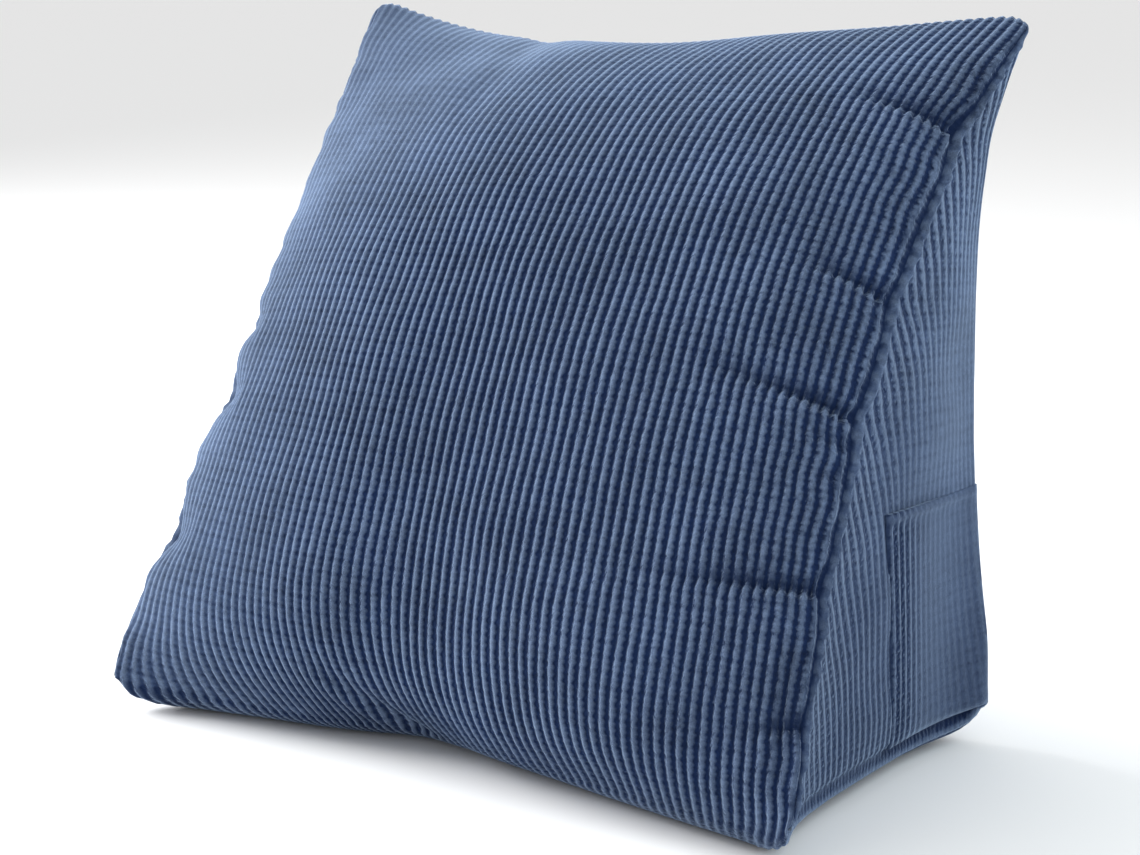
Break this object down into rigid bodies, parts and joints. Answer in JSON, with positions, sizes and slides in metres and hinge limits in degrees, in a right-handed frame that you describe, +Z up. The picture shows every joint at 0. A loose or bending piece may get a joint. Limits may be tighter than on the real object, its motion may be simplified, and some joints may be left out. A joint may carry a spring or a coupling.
{
  "type": "wedge pillow",
  "caption": "Stuffed wedge back-rest pillow in ribbed cord fabric, with a slanted front, an upright back, a flat base to rest on and a flat pocket on its right side.",
  "frame": {"origin": "on the base plane, midway across the width and midway between the front and back base corners", "axes": "+X across the width to the pillow's right as seen from its front, +Y from the slanted front to the upright back, +Z up"},
  "size_m": [0.4506, 0.2716, 0.407],
  "materials": {
    "cord_fabric": "soft ribbed pile"
  },
  "bodies": {
    "root": {"cushion": "cord_fabric", "side_pocket": "cord_fabric"}
  },
  "joints": []
}
